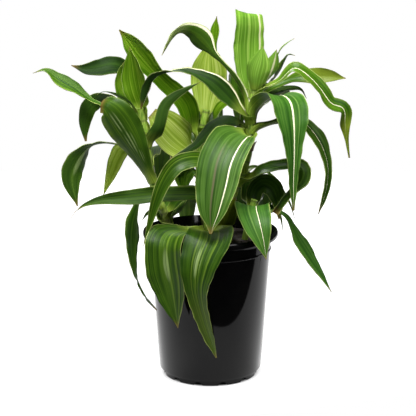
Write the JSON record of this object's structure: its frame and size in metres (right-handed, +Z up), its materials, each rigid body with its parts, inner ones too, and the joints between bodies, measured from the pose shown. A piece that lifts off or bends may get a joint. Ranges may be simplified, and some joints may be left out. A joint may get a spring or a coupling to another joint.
{
  "type": "potted basket plant",
  "caption": "Leafy houseplant in a round plastic nursery pot: bare stems rise from the soil and carry arching strap leaves with pale stripes.",
  "frame": {"origin": "under the middle of the pot, at the height of its feet", "axes": "+Z up, -Y towards the side with the leaves that hang over the lip, +X to the right seen from there"},
  "size_m": [0.386, 0.2546, 0.4521],
  "materials": {
    "pot_plastic": "glossy black",
    "soil": "crumbly bark and peat potting mix",
    "stem": "smooth green stem",
    "leaf_green": "glossy leaf with pale stripes",
    "leaf_dark": "shaded underside of a leaf",
    "leaf_bluish": "glossy bluish green leaf with cream stripes",
    "leaf_young": "thin young leaf that lets light through"
  },
  "bodies": {
    "root": {"pot": "pot_plastic", "soil": "soil", "stem_left": "stem", "stem_right": "stem", "stem_back": "stem", "stem_front": "stem", "stem_low_right": "stem", "left_leaf_far_thin": "leaf_green", "left_leaf_dark_arch": "leaf_dark", "left_leaf_upright": "leaf_young", "left_leaf_behind": "leaf_young", "left_leaf_front_broad": "leaf_green", "left_leaf_hooked": "leaf_dark", "left_leaf_cupped": "leaf_dark", "left_leaf_drooping": "leaf_green", "left_leaf_crossing": "leaf_dark", "left_leaf_curl": "leaf_green", "left_leaf_small_loop": "leaf_dark", "left_leaf_low_hanging": "leaf_dark", "left_leaf_rim": "leaf_green", "left_leaf_back_high": "leaf_green", "left_leaf_back_inner": "leaf_green", "left_leaf_back_low": "leaf_dark", "right_leaf_front_broad": "leaf_bluish", "right_leaf_hanging_broad": "leaf_bluish", "right_leaf_far_twisted": "leaf_green", "right_leaf_far_level": "leaf_young", "right_leaf_side_arch": "leaf_dark", "right_leaf_top_broad": "leaf_bluish", "right_leaf_heart": "leaf_young", "right_leaf_heart_side": "leaf_young", "right_leaf_small_upper": "leaf_green", "right_leaf_small_curl": "leaf_green", "right_leaf_twisted_tall": "leaf_dark", "right_leaf_long_arch": "leaf_bluish", "right_leaf_shaded_arch": "leaf_dark", "right_leaf_tucked": "leaf_dark", "right_leaf_low_left": "leaf_green", "right_leaf_low_arch": "leaf_green", "right_leaf_rolled_back": "leaf_green", "right_leaf_short_sheath": "leaf_young", "right_leaf_thin_side": "leaf_young", "right_leaf_back_arch": "leaf_green", "right_leaf_back_tall": "leaf_green", "back_leaf_pale_diagonal": "leaf_young", "back_leaf_pale_upright": "leaf_young", "back_leaf_tip_tall": "leaf_young", "back_leaf_broad_pale": "leaf_young", "back_leaf_right_pale": "leaf_young", "back_leaf_low_hidden": "leaf_green", "back_leaf_arch": "leaf_green", "back_leaf_side": "leaf_green", "back_leaf_low": "leaf_dark", "front_leaf_over_rim": "leaf_green", "front_leaf_over_rim_left": "leaf_green", "low_right_leaf_over_rim": "leaf_bluish", "low_right_leaf_shaded": "leaf_dark", "low_right_leaf_long": "leaf_dark", "low_right_leaf_grey": "leaf_green", "low_right_leaf_back": "leaf_green"}
  },
  "joints": []
}
